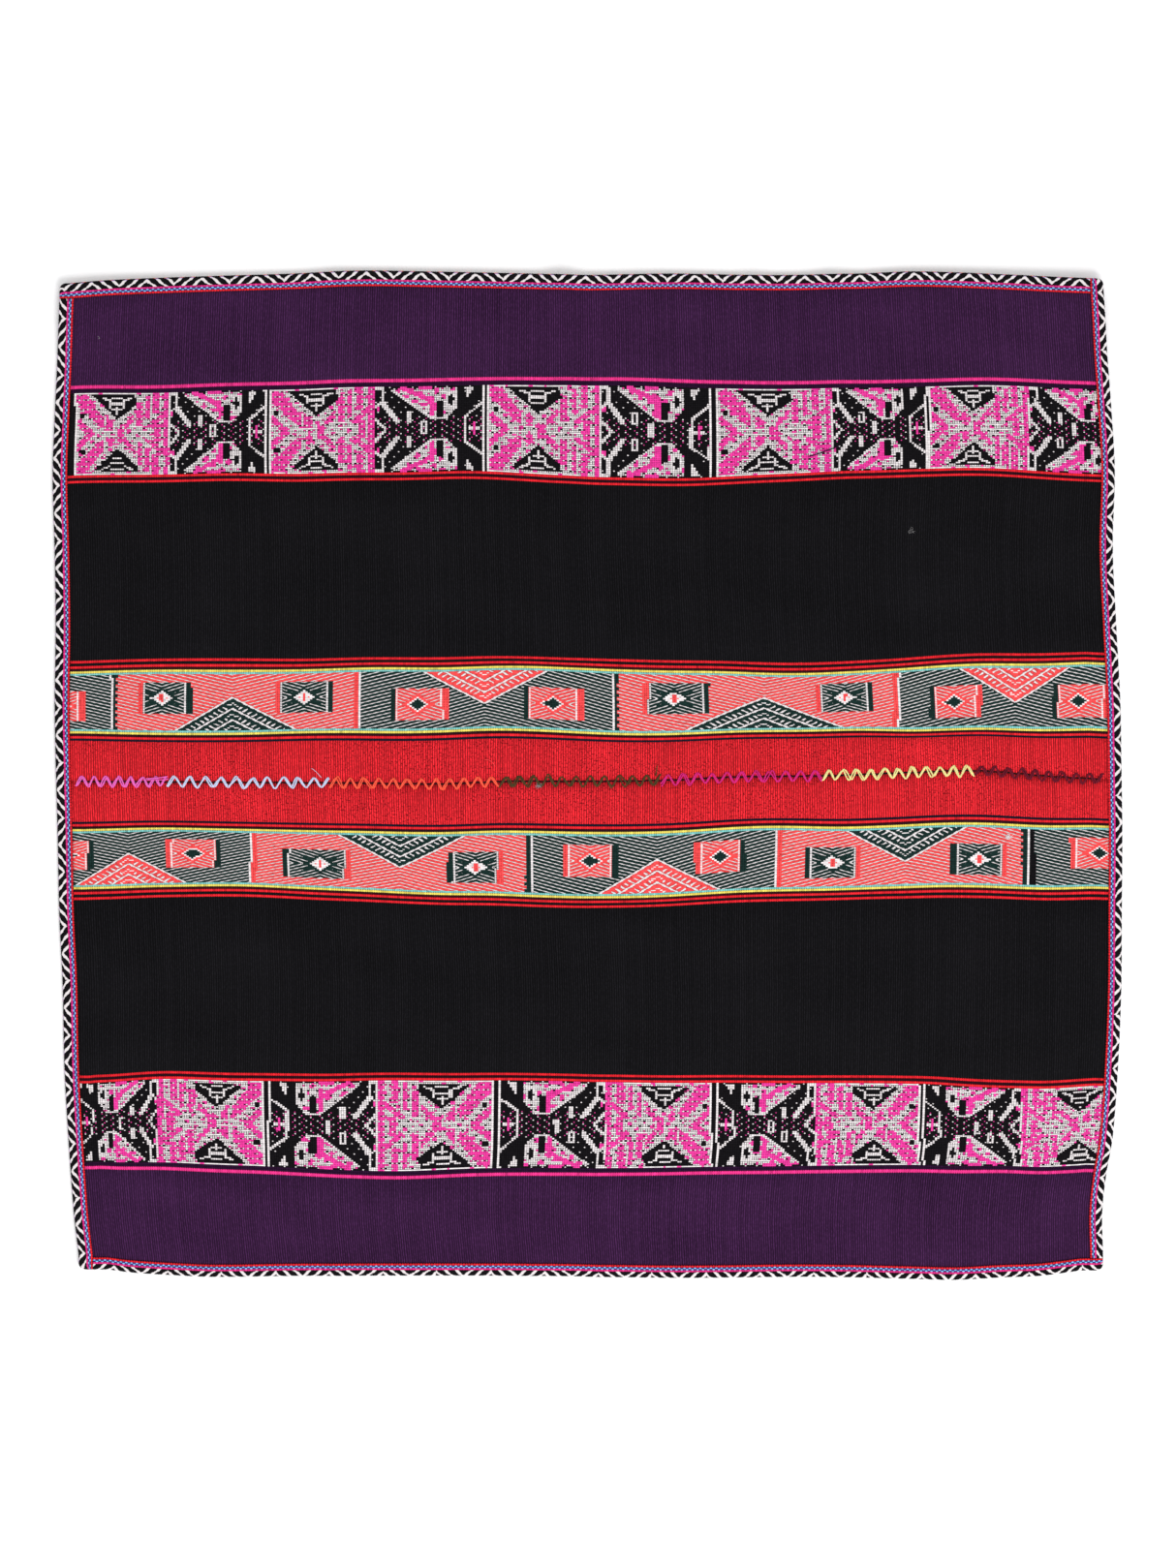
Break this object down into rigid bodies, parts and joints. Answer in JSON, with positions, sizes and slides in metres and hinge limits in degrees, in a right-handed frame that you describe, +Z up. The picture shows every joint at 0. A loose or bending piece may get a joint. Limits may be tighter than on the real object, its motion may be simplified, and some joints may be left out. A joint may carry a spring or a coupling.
{
  "type": "woven carrying cloth",
  "caption": "Traditional warp-faced carrying cloth: two striped, figured panels joined by a zigzag seam and bound with woven edging, laid open and face up.",
  "frame": {"origin": "middle of the cloth's outline, on the surface it lies on", "axes": "+X along the warp and the stripes, +Y across the panels towards the upper panel, +Z up out of the face"},
  "size_m": [1.06, 1, 0.0136],
  "materials": {
    "woven_panel": "dense warp-faced wool with fine ribs across the stripes",
    "woven_edging": "tight black and white figured edging with beaded rims",
    "seam_yarn": "plied yarn in a zigzag stitch, in seven colours",
    "loose_yarn": "fuzz and loose ends of yarn"
  },
  "bodies": {
    "root": {"panel_upper": "woven_panel", "panel_lower": "woven_panel", "edging_top": "woven_edging", "edging_right": "woven_edging", "edging_bottom": "woven_edging", "edging_left": "woven_edging"}
  },
  "joints": []
}
